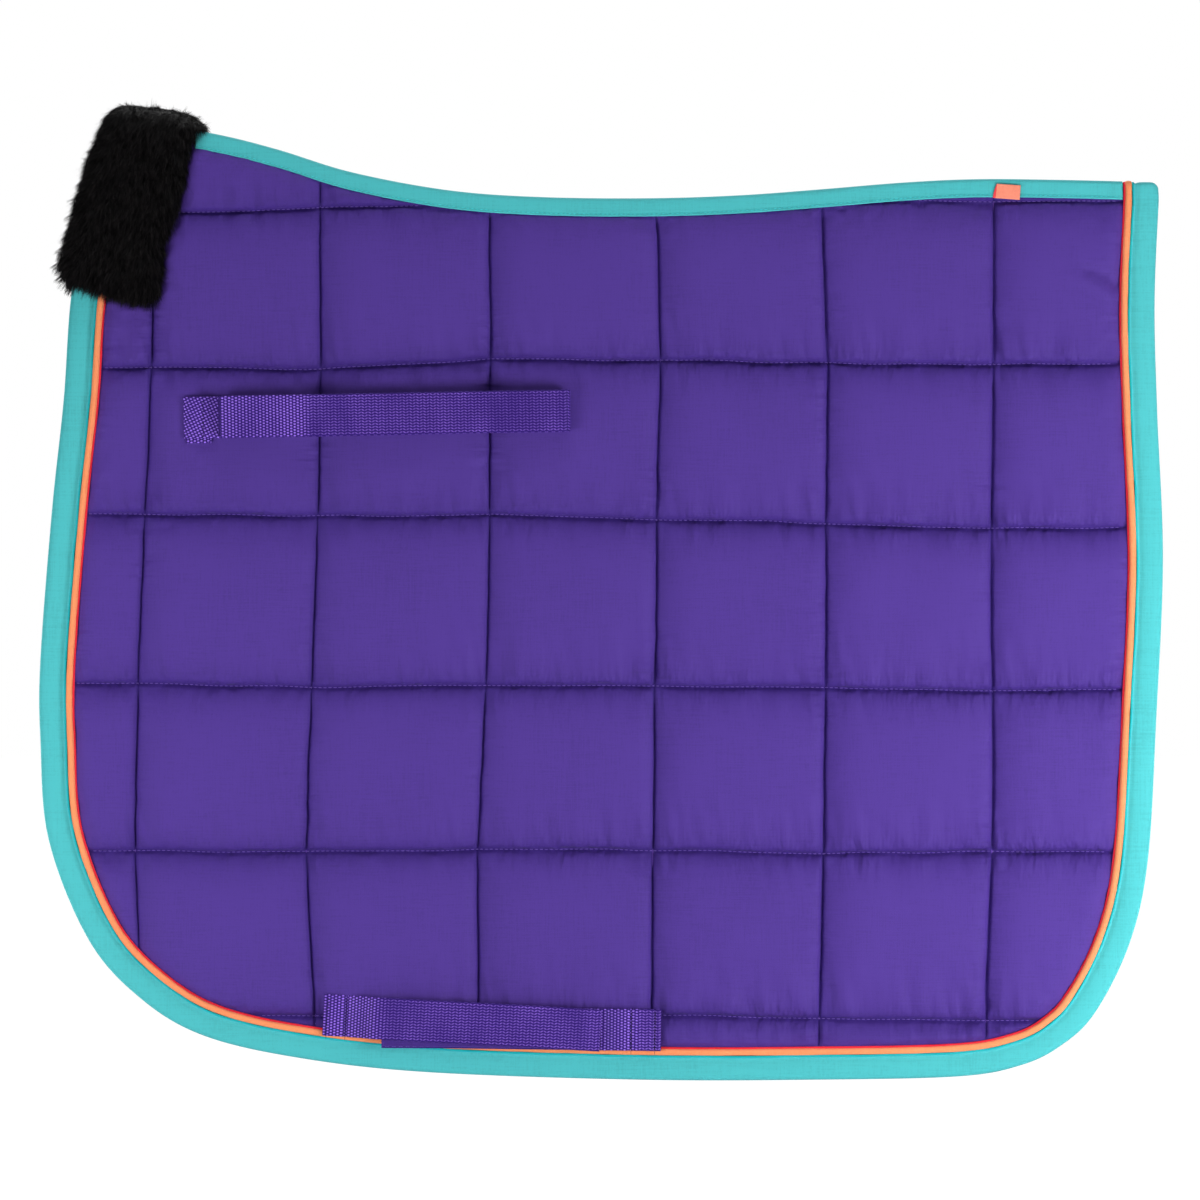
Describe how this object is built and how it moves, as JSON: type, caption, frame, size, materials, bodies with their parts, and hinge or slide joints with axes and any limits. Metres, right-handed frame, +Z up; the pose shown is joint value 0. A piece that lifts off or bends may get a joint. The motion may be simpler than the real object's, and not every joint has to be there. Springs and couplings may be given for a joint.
{
  "type": "dressage saddle pad",
  "caption": "Folded quilted dressage saddle pad with bound edges, piping, faux fur over the withers, and closing billet and girth straps.",
  "frame": {"origin": "on the underside of the spine binding, at the lowest point of the spine, in the fold's middle plane", "axes": "+X to the rear of the pad, +Y to the right half, +Z up; the left half is at -Y"},
  "size_m": [0.6748, 0.048, 0.5867],
  "materials": {
    "quilted_cotton": "matt purple cotton, quilted in 100 mm squares",
    "lining_cloth": "matt purple lining cloth",
    "wadding": "white polyester wadding",
    "teal_binding": "soft turquoise binding tape",
    "orange_piping": "coral piping cord",
    "purple_webbing": "woven purple webbing",
    "hook_tape": "hook and loop tape",
    "black_fur": "short black faux fur",
    "orange_tag": "woven coral tag, bare"
  },
  "bodies": {
    "root": {"spine_binding": "teal_binding", "wither_fur": "black_fur", "label_tag": "orange_tag", "left_strip_shell": "quilted_cotton", "left_strip_wadding": "wadding", "left_strip_lining": "lining_cloth", "left_corner_binding": "teal_binding", "left_corner_piping": "orange_piping", "right_strip_shell": "quilted_cotton", "right_strip_wadding": "wadding", "right_strip_lining": "lining_cloth", "right_corner_binding": "teal_binding", "right_corner_piping": "orange_piping"},
    "left_flap": {"left_shell": "quilted_cotton", "left_wadding": "wadding", "left_lining": "lining_cloth", "left_binding": "teal_binding", "left_piping": "orange_piping", "left_fur": "black_fur", "left_billet_sewn_end": "purple_webbing", "left_girth_front_sewn_end": "purple_webbing", "left_girth_rear_sewn_end": "purple_webbing"},
    "left_billet_strap": {"left_billet_strap": "purple_webbing", "left_billet_loop_tape": "hook_tape"},
    "left_billet_flap": {"left_billet_flap": "purple_webbing", "left_billet_hook_tape": "hook_tape"},
    "left_girth_front": {"left_girth_front_strap": "purple_webbing", "left_girth_hook_tape": "hook_tape"},
    "left_girth_rear": {"left_girth_rear_strap": "purple_webbing", "left_girth_loop_tape": "hook_tape"},
    "right_flap": {"right_shell": "quilted_cotton", "right_wadding": "wadding", "right_lining": "lining_cloth", "right_binding": "teal_binding", "right_piping": "orange_piping", "right_fur": "black_fur", "right_billet_sewn_end": "purple_webbing", "right_girth_front_sewn_end": "purple_webbing", "right_girth_rear_sewn_end": "purple_webbing"},
    "right_billet_strap": {"right_billet_strap": "purple_webbing", "right_billet_loop_tape": "hook_tape"},
    "right_billet_flap": {"right_billet_flap": "purple_webbing", "right_billet_hook_tape": "hook_tape"},
    "right_girth_front": {"right_girth_front_strap": "purple_webbing", "right_girth_hook_tape": "hook_tape"},
    "right_girth_rear": {"right_girth_rear_strap": "purple_webbing", "right_girth_loop_tape": "hook_tape"}
  },
  "joints": [
    {"name": "left_flap_swing", "type": "hinge", "parent": "root", "child": "left_flap", "pos_m": [0, -0.009, -0.0114], "axis": [-1, 0, 0], "range_deg": [0, 90]},
    {"name": "left_billet_strap_lift", "type": "hinge", "parent": "left_flap", "child": "left_billet_strap", "pos_m": [-0.2346, -0.0158, -0.1308], "axis": [0.0192, 0, -0.9998], "range_deg": [0, 130]},
    {"name": "left_billet_flap_peel", "type": "hinge", "parent": "left_billet_strap", "child": "left_billet_flap", "pos_m": [-0.02154, -0.0221, -0.12671], "axis": [-0.0192, 0, 0.9998], "range_deg": [0, 150]},
    {"name": "left_girth_front_peel", "type": "hinge", "parent": "left_flap", "child": "left_girth_front", "pos_m": [-0.1515, -0.0138, -0.4896], "axis": [-0.0558, 0, -0.9984], "range_deg": [0, 140]},
    {"name": "left_girth_rear_lift", "type": "hinge", "parent": "left_flap", "child": "left_girth_rear", "pos_m": [0.0183, -0.0138, -0.4974], "axis": [0.0122, 0, 0.9999], "range_deg": [0, 16.8]},
    {"name": "right_flap_swing", "type": "hinge", "parent": "root", "child": "right_flap", "pos_m": [0, 0.009, -0.0114], "axis": [1, 0, 0], "range_deg": [0, 90]},
    {"name": "right_billet_strap_lift", "type": "hinge", "parent": "right_flap", "child": "right_billet_strap", "pos_m": [-0.2346, 0.0158, -0.1308], "axis": [-0.0192, 0, 0.9998], "range_deg": [0, 130]},
    {"name": "right_billet_flap_peel", "type": "hinge", "parent": "right_billet_strap", "child": "right_billet_flap", "pos_m": [-0.02154, 0.0221, -0.12671], "axis": [0.0192, 0, -0.9998], "range_deg": [0, 150]},
    {"name": "right_girth_front_peel", "type": "hinge", "parent": "right_flap", "child": "right_girth_front", "pos_m": [-0.1515, 0.0138, -0.4896], "axis": [0.0558, 0, 0.9984], "range_deg": [0, 140]},
    {"name": "right_girth_rear_lift", "type": "hinge", "parent": "right_flap", "child": "right_girth_rear", "pos_m": [0.0183, 0.0138, -0.4974], "axis": [-0.0122, 0, -0.9999], "range_deg": [0, 16.8]}
  ],
  "couplings": [
    {"joint": "left_girth_rear_lift", "follows": "left_girth_front_peel", "ratio": 0.12},
    {"joint": "right_girth_rear_lift", "follows": "right_girth_front_peel", "ratio": 0.12}
  ]
}
